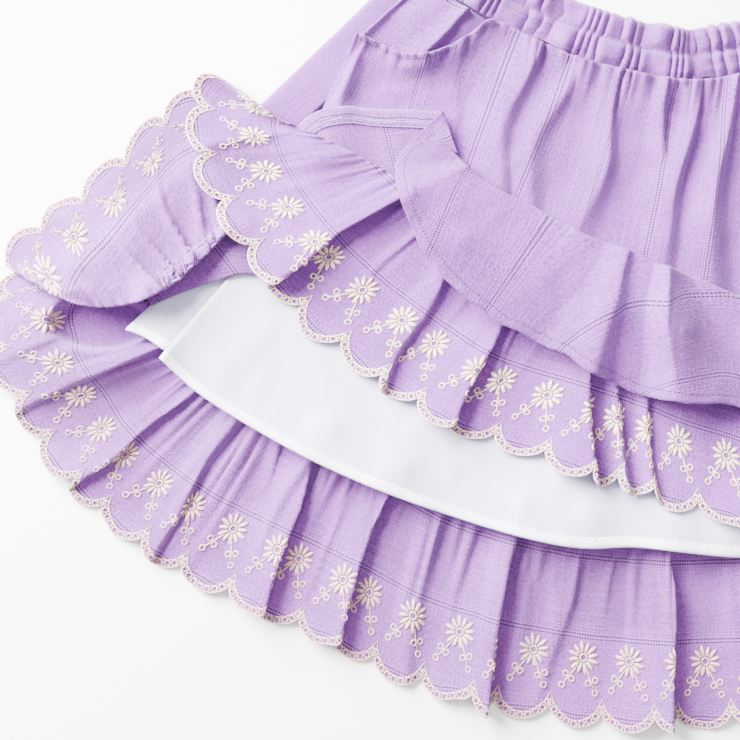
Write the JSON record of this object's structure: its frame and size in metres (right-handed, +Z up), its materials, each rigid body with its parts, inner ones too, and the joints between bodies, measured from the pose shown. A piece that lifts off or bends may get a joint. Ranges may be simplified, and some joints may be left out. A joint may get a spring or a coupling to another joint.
{
  "type": "tiered skirt",
  "caption": "Child's gathered lilac cotton skirt with an elastic waist, a flounce, a scalloped embroidered tier and a white lining, laid flat with its left front lifted.",
  "frame": {"origin": "centre of the laid-out skirt's outline, on the surface it lies on", "axes": "+X along the skirt's width, to the right as seen from above, +Y from the hem to the waistband, +Z up from the surface"},
  "size_m": [0.7178, 0.4084, 0.0279],
  "materials": {
    "lilac_cotton": "crepe-woven cotton dobby with ladder stripes, matt",
    "lilac_cotton_inside": "wrong side of the same cotton dobby, matt",
    "white_lining": "fine plain white cotton lawn"
  },
  "bodies": {
    "root": {"waistband": "lilac_cotton", "body_front": "lilac_cotton", "body_back": "lilac_cotton", "pocket_facing": "lilac_cotton", "flounce_front": "lilac_cotton", "flounce_back": "lilac_cotton", "tier_front": "lilac_cotton", "body_turned": "lilac_cotton_inside", "flounce_turned": "lilac_cotton_inside", "tier_turned": "lilac_cotton_inside", "tier_back": "lilac_cotton_inside", "lining_front": "white_lining", "lining_back": "white_lining"}
  },
  "joints": []
}
